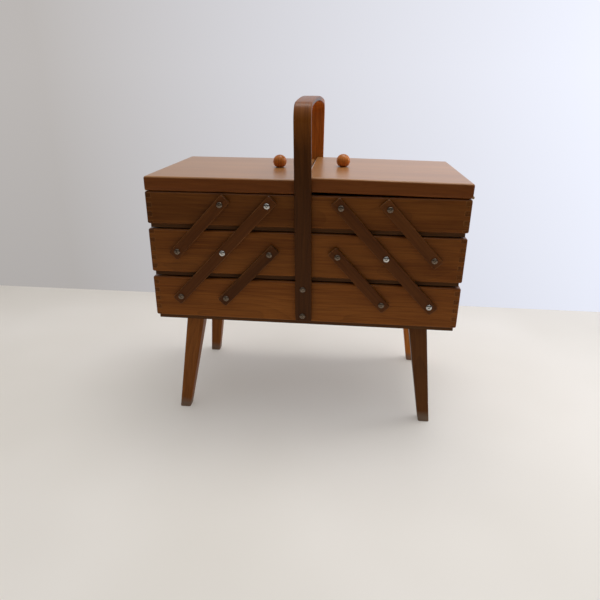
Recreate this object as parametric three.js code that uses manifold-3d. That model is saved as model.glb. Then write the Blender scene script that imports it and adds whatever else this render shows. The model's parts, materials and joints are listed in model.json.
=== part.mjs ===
// Wooden cantilever sewing box on four splayed legs.
//
// Frame: millimetres, +X to the right, +Y to the back, +Z up. The origin is on the floor under the
// middle of the box. The left and right halves mirror each other, as do the front and the back.
// Two stacks of trays stand on one full-width bottom box. Flat wooden links on the front and back
// faces swing them outwards, and each top tray has a hinged lid.
import * as THREE from 'three';
import { mergeVertices } from 'three/addons/utils/BufferGeometryUtils.js';
import { RoundedBoxGeometry } from 'three/addons/geometries/RoundedBoxGeometry.js';
import Module from 'manifold-3d';

const wasm = await Module();
wasm.setup();

// ---------------------------------------------------------------- driving dimensions (mm)
const WIDTH = 421; // whole stack, end face to end face
const DEPTH = 217; // front face to back face
const WALL = 8; // thickness of every tray board
const SPLIT = 1.4; // gap between the left and right trays
const PLY = 5.5; // floor panels
const PLY_INSET = 3.5; // floor panel's edge behind the board faces
const GLUE = 0.15; // gap in a glued joint
const SOFT = 2.5; // rounding of the outer edges of trays and lids

// bottom and top edge of each tier's boards, and the first end-grain finger below the top edge
const BOTTOM = { low: 158.3, high: 216.2, firstFinger: 7.4 };
const MIDDLE = { low: 223.6, high: 284.1, firstFinger: 2.7 };
const TOP = { low: 291.1, high: 333.7, firstFinger: 5.0 };
const LID = { low: 335.2, high: 353.6 };
const FINGER = 6.2; // height of one finger of the corner joints

// linkage: pivots on three levels, all links parallel
const PIVOT_Z = { bottom: 190, middle: 255, top: 320 };
const LONG_X = 170; // lowest pivot of the long link, from the centre line
const LINK_RUN = 61.25; // sideways step of a link from one level to the next
const LOWER_PITCH = 63.5; // long link to lower short link
const UPPER_PITCH = 61.75; // upper short link to long link
const LINK = { width: 15, thick: 5, lowEnd: 9.5, highEnd: 11.5, clip: 1.6, hole: 2.1 };
const WASHER = 1; // links and handle stand off the boards by this
const PILOT = { radius: 1.5, depth: 6.5 };

// bent handle; it has twisted a little, so its legs lean sideways, in mm for each mm of height
const HANDLE = {
  width: 22, thick: 6, foot: 161.5, crown: 451, corner: 24, crownRadius: 830,
  screwZ: [169, 208], screwHole: 1.9, upright: 250, lean: { front: -0.0158, back: 0.006 },
};

// legs: square, tapered and splayed; set by hand, so each stands at its own slight angle
const LEG = {
  top: 25, foot: 16, topY: 85, footX: 182.5, footY: 94.8, soft: 1.6,
  topX: { front_left: 157, front_right: 161, back_left: 165, back_right: 162 },
};

const KNOB = { x: 45.8, y: 2, radius: 9.9, height: 17.4, base: 5.6, dowel: 3, dowelLength: 10 };
const HINGE = { out: 2.15, radius: 1.9, bore: 1.0, pin: 0.85, leaf: 0.5, reach: 7, length: 192, knuckles: 7 };
const RIGHT_LID_AJAR = 0.9; // degrees

const FACE_Y = DEPTH / 2;
const SEAM_Z = (TOP.high + LID.low) / 2;
const HINGE_X = WIDTH / 2 + HINGE.out;
const SIDES = { left: -1, right: 1 };
const FACES = { front: -1, back: 1 };

// ---------------------------------------------------------------- materials
function material(color, roughness, metalness = 0) {
  return new THREE.MeshStandardMaterial({ color, roughness, metalness });
}
const LOOK = {
  board: () => material(0x8a5426, 0.42),
  panel: () => material(0x55321a, 0.6),
  lid: () => material(0xa06a38, 0.35),
  link: () => material(0x6e3f1f, 0.45),
  handle: () => material(0x5f3119, 0.38),
  leg: () => material(0x8a4f24, 0.42),
  knob: () => material(0xa85a1c, 0.3),
  steel: () => material(0x8c857b, 0.35, 1),
  brass: () => material(0xa98a4c, 0.35, 1),
};

// ---------------------------------------------------------------- solids
function solid(geometry) {
  const bare = geometry.clone();
  bare.deleteAttribute('normal');
  bare.deleteAttribute('uv');
  const merged = mergeVertices(bare, 1e-4);
  return new wasm.Manifold(new wasm.Mesh({
    numProp: 3,
    vertProperties: new Float32Array(merged.attributes.position.array),
    triVerts: new Uint32Array(merged.index.array),
  }));
}

function geometryOf(body) {
  const mesh = body.getMesh();
  const geometry = new THREE.BufferGeometry();
  geometry.setAttribute('position', new THREE.BufferAttribute(new Float32Array(mesh.vertProperties), 3));
  geometry.setIndex(new THREE.BufferAttribute(new Uint32Array(mesh.triVerts), 1));
  const flat = geometry.toNonIndexed();
  flat.computeVertexNormals();
  return flat;
}

function block(x, y, z) {
  const geometry = new THREE.BoxGeometry(x[1] - x[0], y[1] - y[0], z[1] - z[0]);
  geometry.translate((x[0] + x[1]) / 2, (y[0] + y[1]) / 2, (z[0] + z[1]) / 2);
  return solid(geometry);
}

function softBlock(x, y, z, radius) {
  const geometry = new RoundedBoxGeometry(x[1] - x[0], y[1] - y[0], z[1] - z[0], 1, radius);
  geometry.translate((x[0] + x[1]) / 2, (y[0] + y[1]) / 2, (z[0] + z[1]) / 2);
  return solid(geometry);
}

// round bar from start to end along one axis
function bar(axis, radius, at, from, to, sides = 10) {
  const geometry = new THREE.CylinderGeometry(radius, radius, to - from, sides);
  const middle = (from + to) / 2;
  if (axis === 'y') {
    geometry.translate(at[0], middle, at[1]);
  } else {
    geometry.rotateX(Math.PI / 2);
    geometry.translate(at[0], at[1], middle);
  }
  return solid(geometry);
}

const model = new THREE.Group();

function add(name, shape, look, parent = model) {
  const mesh = new THREE.Mesh(shape.isBufferGeometry ? shape : geometryOf(shape), look());
  mesh.name = name;
  parent.add(mesh);
  return mesh;
}

// ---------------------------------------------------------------- linkage layout
// Pivots of one side, at the left; the right side mirrors them.
const PIVOTS = (() => {
  const long = [0, 1, 2].map((step) => -LONG_X + step * LINK_RUN);
  return {
    long: [[long[0], PIVOT_Z.bottom], [long[1], PIVOT_Z.middle], [long[2], PIVOT_Z.top]],
    lower: [[long[0] + LOWER_PITCH, PIVOT_Z.bottom], [long[1] + LOWER_PITCH, PIVOT_Z.middle]],
    upper: [[long[1] - UPPER_PITCH, PIVOT_Z.middle], [long[2] - UPPER_PITCH, PIVOT_Z.top]],
  };
})();

// every pivot of one side that sits on the given level
function pivotsOnLevel(level, side) {
  return Object.values(PIVOTS)
    .flat()
    .filter(([, z]) => z === level)
    .map(([x, z]) => [x * -side, z]);
}

// ---------------------------------------------------------------- trays
// height intervals of the fingers that belong to the end boards
function endFingers(tier) {
  const intervals = [];
  for (let z = tier.high - tier.firstFinger; z > tier.low - FINGER / 2; z -= 2 * FINGER) {
    intervals.push([Math.max(z - FINGER / 2, tier.low - 1), Math.min(z + FINGER / 2, tier.high + 1)]);
  }
  return intervals;
}

// height intervals between those fingers, which belong to the front and back boards
function longFingers(tier) {
  const edges = [tier.high + 1, ...endFingers(tier).flatMap(([low, high]) => [high, low]), tier.low - 1];
  const intervals = [];
  for (let i = 0; i < edges.length; i += 2) {
    if (edges[i] - edges[i + 1] > 0.01) {
      intervals.push([edges[i + 1], edges[i]]);
    }
  }
  return intervals;
}

function cutPilots(board, pivots, face) {
  const from = face * (FACE_Y + 1);
  const to = face * (FACE_Y - PILOT.depth);
  for (const [x, z] of pivots) {
    board = board.subtract(bar('y', PILOT.radius, [x, z], Math.min(from, to), Math.max(from, to), 8));
  }
  return board;
}

// One open box of four finger-jointed boards on a floor panel.
function buildTray(prefix, tier, x0, x1, ends, pivots) {
  const height = [tier.low, tier.high];
  const shell = softBlock([x0, x1], [-FACE_Y, FACE_Y], height, SOFT);
  const tall = [tier.low - 1, tier.high + 1];

  for (const [faceName, face] of Object.entries(FACES)) {
    const y = face < 0 ? [-FACE_Y, -FACE_Y + WALL] : [FACE_Y - WALL, FACE_Y];
    const past = [y[0] - 1, y[1] + 1];
    let board = shell.intersect(block([x0 - 1, x1 + 1], y, tall));
    for (const [low, high] of endFingers(tier)) {
      const z = [low - GLUE, high + GLUE];
      board = board.subtract(block([x0 - 1, x0 + WALL + GLUE], past, z));
      board = board.subtract(block([x1 - WALL - GLUE, x1 + 1], past, z));
    }
    add(`${prefix}_${faceName}_board`, cutPilots(board, pivots, face), LOOK.board);
  }

  ends.forEach((endName, index) => {
    const x = index === 0 ? [x0, x0 + WALL] : [x1 - WALL, x1];
    let board = shell.intersect(block(x, [-FACE_Y - 1, FACE_Y + 1], tall));
    for (const z of longFingers(tier)) {
      const past = [x[0] - 1, x[1] + 1];
      board = board.subtract(block(past, [-FACE_Y - 1, -FACE_Y + WALL + GLUE], z));
      board = board.subtract(block(past, [FACE_Y - WALL - GLUE, FACE_Y + 1], z));
    }
    add(`${prefix}_${endName}_board`, board, LOOK.board);
  });
}

function floorPanel(tier, x0, x1) {
  return block(
    [x0 + PLY_INSET, x1 - PLY_INSET],
    [-FACE_Y + PLY_INSET, FACE_Y - PLY_INSET],
    [tier.low - PLY, tier.low - GLUE],
  );
}

function spanOf(side) {
  return side < 0 ? [-WIDTH / 2, -SPLIT / 2] : [SPLIT / 2, WIDTH / 2];
}

function buildTiers() {
  const lowPivots = [...pivotsOnLevel(PIVOT_Z.bottom, -1), ...pivotsOnLevel(PIVOT_Z.bottom, 1)];
  const handleScrews = HANDLE.screwZ.map((z) => [0, z]);
  buildTray('bottom', BOTTOM, -WIDTH / 2, WIDTH / 2, ['left', 'right'], [...lowPivots, ...handleScrews]);
  for (const [sideName, side] of Object.entries(SIDES)) {
    const [x0, x1] = spanOf(side);
    const ends = side < 0 ? ['outer', 'inner'] : ['inner', 'outer'];
    buildTray(`middle_${sideName}`, MIDDLE, x0, x1, ends, pivotsOnLevel(PIVOT_Z.middle, side));
    buildTray(`top_${sideName}`, TOP, x0, x1, ends, pivotsOnLevel(PIVOT_Z.top, side));
    add(`middle_${sideName}_floor`, floorPanel(MIDDLE, x0, x1), LOOK.panel);
    add(`top_${sideName}_floor`, floorPanel(TOP, x0, x1), LOOK.panel);
  }
}

// ---------------------------------------------------------------- links
// Flat bar with clipped corners, drilled at its pivots, standing off the boards by a washer.
function linkGeometry(reach, holes) {
  const [w, c] = [LINK.width / 2, LINK.clip];
  const [a, b] = [-LINK.lowEnd, reach + LINK.highEnd];
  const outline = new THREE.Shape([
    [a + c, -w], [b - c, -w], [b, -w + c], [b, w - c], [b - c, w], [a + c, w], [a, w - c], [a, -w + c],
  ].map(([x, y]) => new THREE.Vector2(x, y)));
  for (const along of holes) {
    const hole = new THREE.Path();
    hole.absarc(along, 0, LINK.hole, 0, 2 * Math.PI, true);
    outline.holes.push(hole);
  }
  return new THREE.ExtrudeGeometry(outline, { depth: LINK.thick, bevelEnabled: false, curveSegments: 6 });
}

function buildLinks() {
  for (const [sideName, side] of Object.entries(SIDES)) {
    for (const [faceName, face] of Object.entries(FACES)) {
      for (const [kind, pivots] of Object.entries(PIVOTS)) {
        const [x, z] = pivots[0];
        const run = pivots.at(-1)[0] - x;
        const rise = pivots.at(-1)[1] - z;
        const holes = pivots.map((pivot) => Math.hypot(pivot[0] - x, pivot[1] - z));
        const geometry = linkGeometry(Math.hypot(run, rise), holes);
        geometry.rotateX(Math.PI / 2);
        geometry.translate(0, face < 0 ? -FACE_Y - WASHER : FACE_Y + WASHER + LINK.thick, 0);
        geometry.rotateY(-Math.atan2(rise, -side * run));
        geometry.translate(-side * x, 0, z);
        add(`${sideName}_${faceName}_${kind}_link`, geometry, LOOK.link);
      }
    }
  }
}

// ---------------------------------------------------------------- handle
// A steamed strip: straight legs, tight corners and a gently crowned top, drawn in Y and Z.
function handleOutline() {
  const outerY = FACE_Y + WASHER + HANDLE.thick;
  const crownZ = HANDLE.crown - HANDLE.crownRadius;
  const cornerY = outerY - HANDLE.corner;
  const cornerZ = crownZ + Math.sqrt((HANDLE.crownRadius - HANDLE.corner) ** 2 - cornerY ** 2);
  const turn = Math.atan2(cornerZ - crownZ, cornerY);
  const inner = HANDLE.thick;
  const outline = new THREE.Shape();
  outline.moveTo(outerY, HANDLE.foot);
  outline.lineTo(outerY, cornerZ);
  outline.absarc(cornerY, cornerZ, HANDLE.corner, 0, turn, false);
  outline.absarc(0, crownZ, HANDLE.crownRadius, turn, Math.PI - turn, false);
  outline.absarc(-cornerY, cornerZ, HANDLE.corner, Math.PI - turn, Math.PI, false);
  outline.lineTo(-outerY, HANDLE.foot);
  outline.lineTo(-outerY + inner, HANDLE.foot);
  outline.lineTo(-outerY + inner, cornerZ);
  outline.absarc(-cornerY, cornerZ, HANDLE.corner - inner, Math.PI, Math.PI - turn, true);
  outline.absarc(0, crownZ, HANDLE.crownRadius - inner, Math.PI - turn, turn, true);
  outline.absarc(cornerY, cornerZ, HANDLE.corner - inner, turn, 0, true);
  outline.lineTo(outerY - inner, HANDLE.foot);
  return outline;
}

// Shears the handle sideways: nothing at its upright height, more above it and below.
function leanHandle(geometry) {
  const spots = geometry.attributes.position;
  for (let i = 0; i < spots.count; i += 1) {
    const toBack = THREE.MathUtils.clamp(spots.getY(i) / DEPTH + 0.5, 0, 1);
    const lean = THREE.MathUtils.lerp(HANDLE.lean.front, HANDLE.lean.back, toBack);
    spots.setX(i, spots.getX(i) + lean * (spots.getZ(i) - HANDLE.upright));
  }
}

function screwProfile(head, dome, shank, length) {
  return [
    [0, -length], [shank * 0.4, -length], [shank, -length + 2], [shank, 0],
    [head, 0], [head, dome * 0.35], [head * 0.72, dome * 0.85], [0, dome],
  ].map(([x, y]) => new THREE.Vector2(x, y));
}

function buildHandle() {
  const geometry = new THREE.ExtrudeGeometry(handleOutline(), {
    depth: HANDLE.width, bevelEnabled: false, curveSegments: 5,
  });
  geometry.rotateY(Math.PI / 2);
  geometry.rotateX(Math.PI / 2);
  geometry.translate(-HANDLE.width / 2, 0, 0);
  leanHandle(geometry);
  let handle = solid(geometry);
  for (const z of HANDLE.screwZ) {
    handle = handle.subtract(bar('y', HANDLE.screwHole, [0, z], -FACE_Y - 20, FACE_Y + 20));
  }
  add('handle', handle, LOOK.handle);

  for (const [faceName, face] of Object.entries(FACES)) {
    HANDLE.screwZ.forEach((z, index) => {
      const reach = HANDLE.thick + WASHER + 0.1;
      const shape = new THREE.LatheGeometry(screwProfile(3.5, 1.7, 1.3, reach + PILOT.depth - 0.6), 10);
      const screw = add(`handle_screw_${faceName}_${index + 1}`, shape, LOOK.steel);
      screw.rotation.x = face < 0 ? Math.PI : 0;
      screw.position.set(0, face * (FACE_Y + reach), z);
    });
  }
}

// ---------------------------------------------------------------- legs
function legGeometry() {
  const half = 0.5;
  const soft = LEG.soft / LEG.top;
  const outline = new THREE.Shape();
  outline.absarc(half - soft, half - soft, soft, 0, Math.PI / 2, false);
  outline.absarc(-half + soft, half - soft, soft, Math.PI / 2, Math.PI, false);
  outline.absarc(-half + soft, -half + soft, soft, Math.PI, 1.5 * Math.PI, false);
  outline.absarc(half - soft, -half + soft, soft, 1.5 * Math.PI, 2 * Math.PI, false);
  return new THREE.ExtrudeGeometry(outline, { depth: 1, bevelEnabled: false, curveSegments: 1, steps: 1 });
}

function buildLegs() {
  const legTop = BOTTOM.low - PLY - 2 * GLUE;
  let floor = floorPanel(BOTTOM, -WIDTH / 2, WIDTH / 2);
  for (const [sideName, side] of Object.entries(SIDES)) {
    for (const [faceName, face] of Object.entries(FACES)) {
      const topX = LEG.topX[`${faceName}_${sideName}`];
      const geometry = legGeometry();
      const corners = geometry.attributes.position;
      for (let i = 0; i < corners.count; i += 1) {
        const t = corners.getZ(i);
        const size = THREE.MathUtils.lerp(LEG.foot, LEG.top, t);
        corners.setXYZ(
          i,
          corners.getX(i) * size + side * THREE.MathUtils.lerp(LEG.footX, topX, t),
          corners.getY(i) * size + face * THREE.MathUtils.lerp(LEG.footY, LEG.topY, t),
          t * legTop,
        );
      }
      const at = [side * topX, face * LEG.topY];
      const leg = solid(geometry).subtract(bar('z', 2, at, legTop - 22, legTop + 1));
      add(`leg_${faceName}_${sideName}`, leg, LOOK.leg);

      const sink = new THREE.CylinderGeometry(4.2, 1.4, 2.8, 10);
      sink.rotateX(Math.PI / 2);
      sink.translate(at[0], at[1], BOTTOM.low - GLUE - 1.4 + 0.01);
      floor = floor.subtract(solid(sink)).subtract(bar('z', 2, at, BOTTOM.low - 10, BOTTOM.low + 1));
      const profile = [[0, -25], [0.8, -25], [1.7, -22], [1.7, -2.4], [3.6, -0.4], [3.6, 0], [0, 0]];
      const shape = new THREE.LatheGeometry(profile.map(([x, y]) => new THREE.Vector2(x, y)), 10);
      const screw = add(`leg_screw_${faceName}_${sideName}`, shape, LOOK.steel);
      screw.rotation.x = Math.PI / 2;
      screw.position.set(at[0], at[1], BOTTOM.low - GLUE - 0.1);
    }
  }
  add('bottom_floor', floor, LOOK.panel);
}

// ---------------------------------------------------------------- lids
function knobGeometry() {
  const start = Math.asin(KNOB.base / KNOB.radius);
  const tall = KNOB.height / (1 + Math.cos(start));
  const centre = tall * Math.cos(start);
  const profile = [[0, -KNOB.dowelLength], [KNOB.dowel, -KNOB.dowelLength], [KNOB.dowel, 0]];
  const steps = 8;
  for (let i = 0; i < steps; i += 1) {
    const angle = THREE.MathUtils.lerp(Math.PI - start, 0, i / steps);
    profile.push([KNOB.radius * Math.sin(angle), centre + tall * Math.cos(angle)]);
  }
  profile.push([0, KNOB.height]);
  return new THREE.LatheGeometry(profile.map(([x, y]) => new THREE.Vector2(x, y)), 16);
}

// One leaf of a strip hinge: a plate and every other knuckle of the barrel. Drawn for the left
// side with the hinge axis on Y through the origin; up is -1 for the tray's leaf, 1 for the lid's.
function hingeLeaf(up, parity) {
  const pitch = HINGE.length / HINGE.knuckles;
  const gap = SEAM_Z - TOP.high - HINGE.leaf - 0.05;
  const plateZ = [gap, gap + HINGE.leaf].map((z) => z * up).sort((a, b) => a - b);
  let leaf = block([0, HINGE.out + HINGE.reach], [-HINGE.length / 2, HINGE.length / 2], plateZ);
  for (let i = 0; i < HINGE.knuckles; i += 1) {
    const from = -HINGE.length / 2 + i * pitch;
    if (i % 2 === parity) {
      leaf = leaf.add(bar('y', HINGE.radius, [0, 0], from + 0.15, from + pitch - 0.15));
    } else {
      const room = [from - 0.15, from + pitch + 0.15];
      leaf = leaf.subtract(block([-HINGE.radius - 1, HINGE.radius + 0.2], room, [-4, 4]));
    }
  }
  return leaf.subtract(bar('y', HINGE.bore, [0, 0], -HINGE.length, HINGE.length));
}

function mirrored(body, side) {
  return side < 0 ? body : body.mirror([1, 0, 0]);
}

function buildLids() {
  for (const [sideName, side] of Object.entries(SIDES)) {
    const hinge = new THREE.Group();
    hinge.position.set(side * HINGE_X, 0, SEAM_Z);
    model.add(hinge);
    const swing = new THREE.Group();
    swing.rotation.y = side > 0 ? THREE.MathUtils.degToRad(RIGHT_LID_AJAR) : 0;
    hinge.add(swing);

    add(`${sideName}_hinge_tray_leaf`, mirrored(hingeLeaf(-1, 0), side), LOOK.brass, hinge);
    add(`${sideName}_hinge_lid_leaf`, mirrored(hingeLeaf(1, 1), side), LOOK.brass, swing);
    const pin = bar('y', HINGE.pin, [0, 0], -HINGE.length / 2 + 0.5, HINGE.length / 2 - 0.5);
    add(`${sideName}_hinge_pin`, pin, LOOK.steel, hinge);

    const [x0, x1] = spanOf(side).map((x) => x - side * HINGE_X);
    const z = [LID.low - SEAM_Z, LID.high - SEAM_Z];
    const knobX = side * (KNOB.x - HINGE_X);
    let lid = softBlock([x0, x1], [-FACE_Y, FACE_Y], z, SOFT);
    lid = lid.subtract(bar('z', KNOB.dowel + 0.3, [knobX, KNOB.y], z[1] - KNOB.dowelLength, z[1] + 1));
    add(`${sideName}_lid`, lid, LOOK.lid, swing);

    const knob = add(`${sideName}_knob`, knobGeometry(), LOOK.knob, swing);
    knob.rotation.x = Math.PI / 2;
    knob.position.set(knobX, KNOB.y, z[1] + 0.3);
  }
}

buildTiers();
buildLinks();
buildHandle();
buildLegs();
buildLids();

export default model;
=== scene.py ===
"""A wooden cantilever sewing box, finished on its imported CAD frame.

Metres, +X right, +Y back, +Z up, as in the frame. Places come from the frame's nodes and joints.
Sizes that the frame doesn't give are millimetres times MM.
"""

import json
import math
import random

import bmesh
import bpy
from mathutils import Matrix, Vector


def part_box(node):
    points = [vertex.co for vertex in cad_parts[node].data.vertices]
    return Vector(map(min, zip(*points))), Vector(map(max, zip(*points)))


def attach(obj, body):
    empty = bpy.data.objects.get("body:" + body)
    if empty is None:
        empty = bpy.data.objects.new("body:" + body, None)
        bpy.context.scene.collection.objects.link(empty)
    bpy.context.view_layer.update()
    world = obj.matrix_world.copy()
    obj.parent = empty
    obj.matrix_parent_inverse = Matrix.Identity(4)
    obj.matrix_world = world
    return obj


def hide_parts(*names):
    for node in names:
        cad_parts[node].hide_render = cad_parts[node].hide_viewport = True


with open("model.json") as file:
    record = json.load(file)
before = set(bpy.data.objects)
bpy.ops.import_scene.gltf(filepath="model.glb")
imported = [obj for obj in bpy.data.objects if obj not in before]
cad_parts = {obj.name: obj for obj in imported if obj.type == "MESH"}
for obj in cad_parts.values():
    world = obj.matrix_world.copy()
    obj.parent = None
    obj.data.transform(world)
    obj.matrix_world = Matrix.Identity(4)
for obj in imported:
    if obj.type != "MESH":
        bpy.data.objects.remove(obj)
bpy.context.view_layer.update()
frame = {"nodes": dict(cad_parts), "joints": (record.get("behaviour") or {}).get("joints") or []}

MM = 0.001
SIDES = {"left": -1, "right": 1}
FACES = {"front": -1, "back": 1}
X, Y, Z = Vector((1, 0, 0)), Vector((0, 1, 0)), Vector((0, 0, 1))

# ---------------------------------------------------------------- sizes
SOFT_EDGE = 2.5 * MM  # rounding of the outer edges of trays and lids
EASED_EDGE = 0.7 * MM  # the inner top edges, just broken with sandpaper
FINGER = 6.2 * MM  # height of one finger of the corner joints
GLUE = 0.15 * MM
FIRST_FINGER = {"bottom": 7.4 * MM, "middle": 2.7 * MM, "top": 5.0 * MM}  # below the top edge
LINK = {"half": 7.5 * MM, "low": 9.5 * MM, "high": 11.5 * MM, "clip": 1.6 * MM, "edge": 0.9 * MM,
        "hole": 2.1 * MM}
HANDLE = {"corner": 24 * MM, "crown": 830 * MM, "edge": 1.7 * MM, "width": 22 * MM,
          "upright": 250 * MM, "lean": {"front": -0.0158, "back": 0.006},
          "end_ease": 1.2 * MM}
HANDLE_PAINTED_LIGHT = {"lit_from": 385 * MM, "lit_over": 40 * MM, "top": 1.9,  # painted light: the strip lighter at its top and towards its back, most on the back's inner face
               "back_share": 0.08, "back_inside": 6.5, "back": 1.0}
HANDLE_SEED = 7.3  # picks the handle's grain
LEG_EDGE = 2.6 * MM
LEG_FOOT, LEG_TOP = 16 * MM, 25 * MM
KNOB_BASE = 5.6 * MM  # radius of the knob's flat foot
LID_EDGE = 3.2 * MM
SEAM_LAP = 0.4 * MM  # the hinge leaves are let into the lid and the tray by this
HINGE = {"radius": 1.9 * MM, "bore": 1.0 * MM, "pin": 0.85 * MM, "leaf": 0.5 * MM,
         "knuckles": 7, "screws": 6}
RIGHT_LID_AJAR = math.radians(0.9)


def joint_place(name):
    """Where a joint's axis passes, at rest."""
    return Vector(next(j["pos_m"] for j in frame["joints"] if j["name"] == name))


def node_centre(name):
    low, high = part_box(name)
    return (low + high) / 2


def share(value):
    """The value kept between 0 and 1."""
    return min(max(value, 0), 1)


# ---------------------------------------------------------------- camera
CAMERA = {"place": Vector((57.7, -763.3, 459.5)) * MM, "lens": 30.907,
          "yaw": -5.393, "pitch": 22.272, "roll": 0.517}


def make_camera():
    yaw, pitch, roll = (math.radians(CAMERA[k]) for k in ("yaw", "pitch", "roll"))
    ahead = Vector((math.sin(yaw) * math.cos(pitch), math.cos(yaw) * math.cos(pitch),
                    -math.sin(pitch)))
    level = Vector((math.cos(yaw), -math.sin(yaw), 0))
    upright = level.cross(ahead)
    right = level * math.cos(roll) + upright * math.sin(roll)
    up = upright * math.cos(roll) - level * math.sin(roll)
    data = bpy.data.cameras.new("camera")
    data.lens = CAMERA["lens"]
    data.sensor_width = 36
    data.clip_start = 0.02
    camera = bpy.data.objects.new("camera", data)
    camera.matrix_world = Matrix.Translation(CAMERA["place"]) @ Matrix(
        (right, up, -ahead)).transposed().to_4x4()
    bpy.context.scene.collection.objects.link(camera)
    bpy.context.scene.camera = camera


make_camera()


# ---------------------------------------------------------------- shader helper
class Shader:
    """Adds nodes to a node tree and links them."""

    def __init__(self, owner):
        self.owner = owner
        owner.use_nodes = True
        self.tree = owner.node_tree
        self.tree.nodes.clear()

    def node(self, kind, inputs=None, **settings):
        made = self.tree.nodes.new("ShaderNode" + kind)
        for key, value in settings.items():
            setattr(made, key, value)
        for key, value in (inputs or {}).items():
            if isinstance(value, bpy.types.NodeSocket):
                self.tree.links.new(value, made.inputs[key])
            else:
                made.inputs[key].default_value = value
        return made

    def math(self, operation, *values):
        return self.node("Math", dict(enumerate(values)), operation=operation).outputs[0]

    def remap(self, value, low, high, to_low=0.0, to_high=1.0):
        inputs = {"Value": value, "From Min": low, "From Max": high, "To Min": to_low,
                  "To Max": to_high}
        return self.node("MapRange", inputs).outputs["Result"]

    def mix(self, factor, first, second):
        return self.node("Mix", {0: factor, 6: first, 7: second}, data_type="RGBA").outputs[2]

    def noise(self, coordinate, stretch, detail=2.0, roughness=0.5, seed=None):
        """A noise of about 1 / stretch metres across along each axis of the coordinate."""
        spread = self.node("VectorMath", {0: coordinate, 1: stretch}, operation="MULTIPLY")
        inputs = {"Vector": spread.outputs[0], "Scale": 1.0, "Detail": detail,
                  "Roughness": roughness}
        if seed is not None:
            inputs["W"] = seed
        dimensions = "3D" if seed is None else "4D"
        return self.node("TexNoise", inputs, noise_dimensions=dimensions).outputs[0]

    def edge_mask(self, radius):
        """Near 1 on sharp convex and concave edges, 0 on flat faces."""
        round_normal = self.node("Bevel", {"Radius": radius}, samples=4).outputs["Normal"]
        normal = self.node("NewGeometry").outputs["Normal"]
        same = self.node("VectorMath", {0: round_normal, 1: normal}, operation="DOT_PRODUCT")
        return self.remap(same.outputs["Value"], 0.995, 0.85)

    def surface(self, **inputs):
        shader = self.node("BsdfPrincipled", {k.replace("_", " "): v for k, v in inputs.items()})
        self.node("OutputMaterial", {"Surface": shader.outputs[0]})
        return self.owner


def new_shader(name):
    return Shader(bpy.data.materials.new(name))


# ---------------------------------------------------------------- wood
def wood(name, light, dark, worn_and_highlight, rings=0.5, rough=(0.34, 0.5), coat=(0.04, 0.5),
         sides=(1, 1, 1, 1), edge_wear_and_highlight=(0.08, 0.6), foot_wear=False):
    """Varnished wood. Its grain runs along the first axis of each piece's grain attribute.

    The varnish is thin on upright faces and thicker on the ones that were laid flat to coat;
    sides darkens the upright faces as painted shade."""
    s = new_shader(name)
    grain = s.node("Attribute", attribute_name="grain").outputs["Vector"]
    seed = s.node("Attribute", attribute_name="seed").outputs["Fac"]
    tone = s.node("Attribute", attribute_name="tone").outputs["Fac"]
    end = s.node("Attribute", attribute_name="end_grain").outputs["Fac"]

    broad = s.noise(grain, (2.4, 34, 34), 3, 0.5, seed)
    fibre = s.noise(grain, (16, 560, 560), 4, 0.62, seed)
    pore = s.noise(grain, (120, 2600, 2600), 1, 0.5, seed)
    wobble = s.noise(grain, (6.5, 16, 16), 2, 0.4, seed)

    # growth rings: distance from a wandering heart line beside the board
    place = s.node("SeparateXYZ", {0: grain})
    heart = s.math("MULTIPLY", s.math("SINE", s.math("MULTIPLY", seed, 5.3)), 0.03)
    across = s.math("ADD", place.outputs[1], heart)
    depth = s.math("ADD", place.outputs[2], 0.05)
    radius = s.math("SQRT", s.math("ADD", s.math("MULTIPLY", across, across),
                                   s.math("MULTIPLY", depth, depth)))
    turns = s.math("MULTIPLY_ADD", radius, 1 / (3.4 * MM), s.math("MULTIPLY", wobble, 7.0))
    late = s.math("POWER", s.math("FRACT", turns), 2.5)

    blend = s.math("MULTIPLY_ADD", fibre, 0.55, s.math("MULTIPLY", broad, 0.45))
    colour = s.mix(s.remap(blend, 0.36, 0.64), dark, light)
    shade = s.math("MULTIPLY_ADD", late, -0.42 * rings, 1.0)
    shade = s.math("MULTIPLY", shade, s.remap(pore, 0.62, 0.78, 1.0, 0.72))
    shade = s.math("MULTIPLY", shade, s.remap(end, 0.0, 1.0, 1.0, 0.68))
    # tone holds random differences between pieces, and on some pieces painted light and shade
    shade = s.math("MULTIPLY", shade, tone)
    colour = s.node("HueSaturation", {"Value": shade, "Color": colour}).outputs[0]
    # painted shade: upright faces are tinted darker by sides, so faces that look up stay lighter
    facing_up = s.node("SeparateXYZ", {0: s.node("TexCoord").outputs["Normal"]}).outputs[2]
    upright = s.remap(facing_up, 0.8, 0.3)
    colour = s.node("Mix", {0: upright, 6: colour, 7: sides}, data_type="RGBA",
                    blend_type="MULTIPLY").outputs[2]
    # lighter edges: partly wear, partly painted highlight where edges catch the light
    patches = s.noise(grain, (60, 60, 60), 2, 0.5, seed)
    edges = s.math("MULTIPLY", s.edge_mask(1.3 * MM), s.remap(patches, 0.4, 0.62, *edge_wear_and_highlight))
    colour = s.mix(edges, colour, worn_and_highlight)
    if foot_wear:
        height = s.node("SeparateXYZ", {0: s.node("NewGeometry").outputs["Position"]}).outputs[2]
        scuffed = s.math("ADD", height, s.math("MULTIPLY", patches, -8 * MM))
        colour = s.mix(s.remap(scuffed, 14 * MM, 3 * MM, 0.0, 0.75), colour,
                       (0.22, 0.16, 0.115, 1))

    roughness = s.remap(s.math("MULTIPLY_ADD", edges, 0.25, fibre), 0.3, 0.7, *rough)
    height = s.math("ADD", s.math("MULTIPLY", fibre, 0.6), s.math("MULTIPLY", pore, 0.4))
    bump = s.node("Bump", {"Strength": 0.35, "Distance": 0.12 * MM, "Height": height})
    varnish = s.remap(facing_up, 0.2, 0.85, *coat)
    return s.surface(Base_Color=colour, Roughness=roughness, Normal=bump.outputs[0],
                     Specular_IOR_Level=0.07, Coat_Weight=varnish, Coat_Roughness=0.28)


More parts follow.
